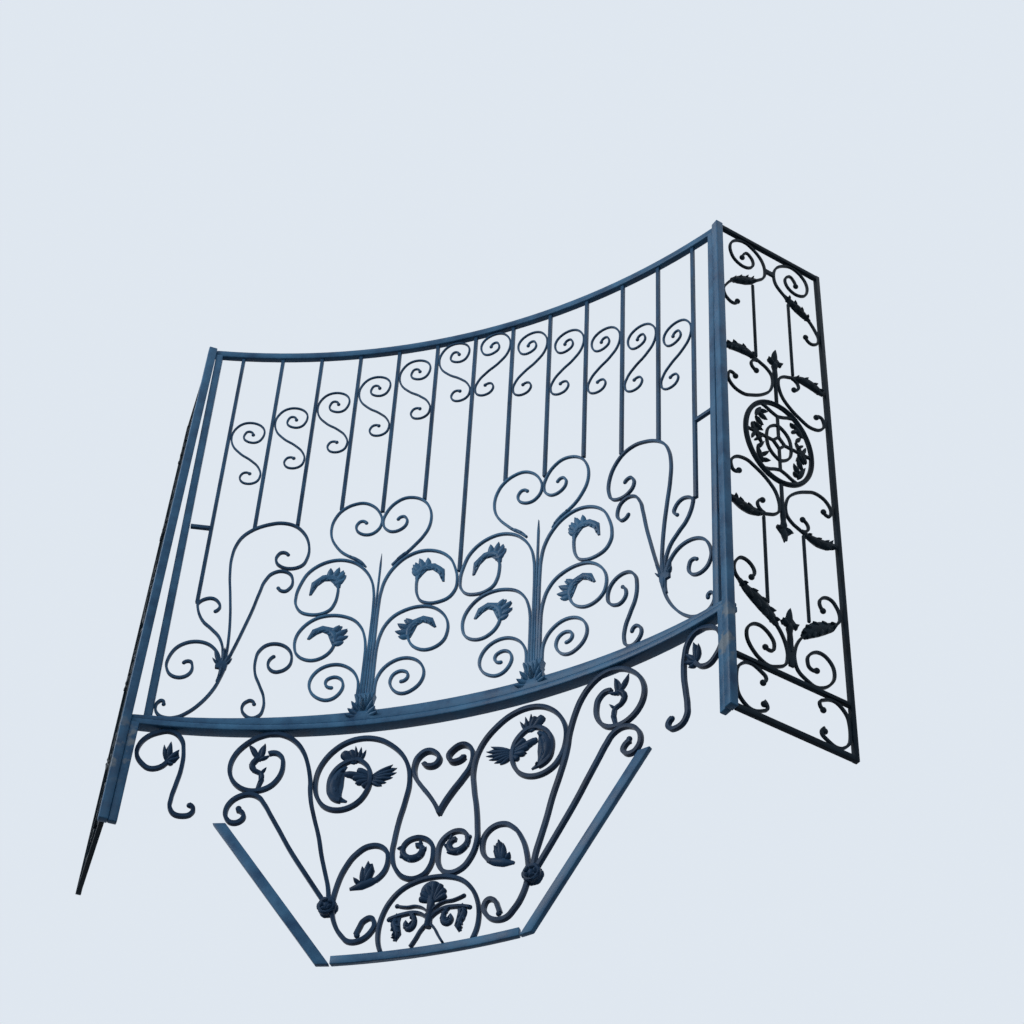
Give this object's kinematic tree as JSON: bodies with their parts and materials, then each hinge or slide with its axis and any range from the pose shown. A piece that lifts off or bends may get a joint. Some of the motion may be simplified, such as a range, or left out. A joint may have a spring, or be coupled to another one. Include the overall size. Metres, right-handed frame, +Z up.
{
  "type": "window grille",
  "caption": "Projecting wrought-iron window grille: inward-bowed front of upright bars and scrollwork, splayed side panels with medallions, and a lower scroll band in a V notch",
  "frame": {"origin": "middle of the underside of the sill bar, the lowest point of the grille", "axes": "+X to the right as seen from the street, +Y towards the building, +Z up"},
  "size_m": [2.338, 0.3431, 2.409],
  "materials": {
    "blue_paint": "satin",
    "slate_paint": "satin",
    "navy_paint": "satin",
    "black_paint": "satin"
  },
  "bodies": {
    "root": {"handrail": "blue_paint", "base_rail": "blue_paint", "top_rail": "blue_paint", "front_bars": "slate_paint", "heart": "navy_paint", "palmette_arch": "navy_paint", "palmette": "navy_paint", "notch_frame": "blue_paint", "right_corner_post": "blue_paint", "left_corner_post": "blue_paint", "right_side_frame": "black_paint", "left_side_frame": "black_paint", "right_side_top_scrolls": "black_paint", "left_side_top_scrolls": "black_paint", "right_side_arms": "black_paint", "left_side_arms": "black_paint", "right_side_medallion": "black_paint", "left_side_medallion": "black_paint", "right_side_base_scrolls": "black_paint", "left_side_base_scrolls": "black_paint", "right_side_bars": "black_paint", "left_side_bars": "black_paint", "right_lower_stile": "blue_paint", "left_lower_stile": "blue_paint", "right_upper_stile": "blue_paint", "left_upper_stile": "blue_paint", "right_s_scrolls": "slate_paint", "left_s_scrolls": "slate_paint", "right_tree_scrolls": "blue_paint", "left_tree_scrolls": "blue_paint", "right_crown_scrolls": "blue_paint", "left_crown_scrolls": "blue_paint", "right_tree_stem": "blue_paint", "left_tree_stem": "blue_paint", "right_lyre_scrolls": "slate_paint", "left_lyre_scrolls": "slate_paint", "right_foot_scroll": "navy_paint", "left_foot_scroll": "navy_paint", "right_leaf_scrolls": "navy_paint", "left_leaf_scrolls": "navy_paint", "right_big_scroll": "navy_paint", "left_big_scroll": "navy_paint", "right_c_scroll": "navy_paint", "left_c_scroll": "navy_paint"}
  },
  "joints": []
}
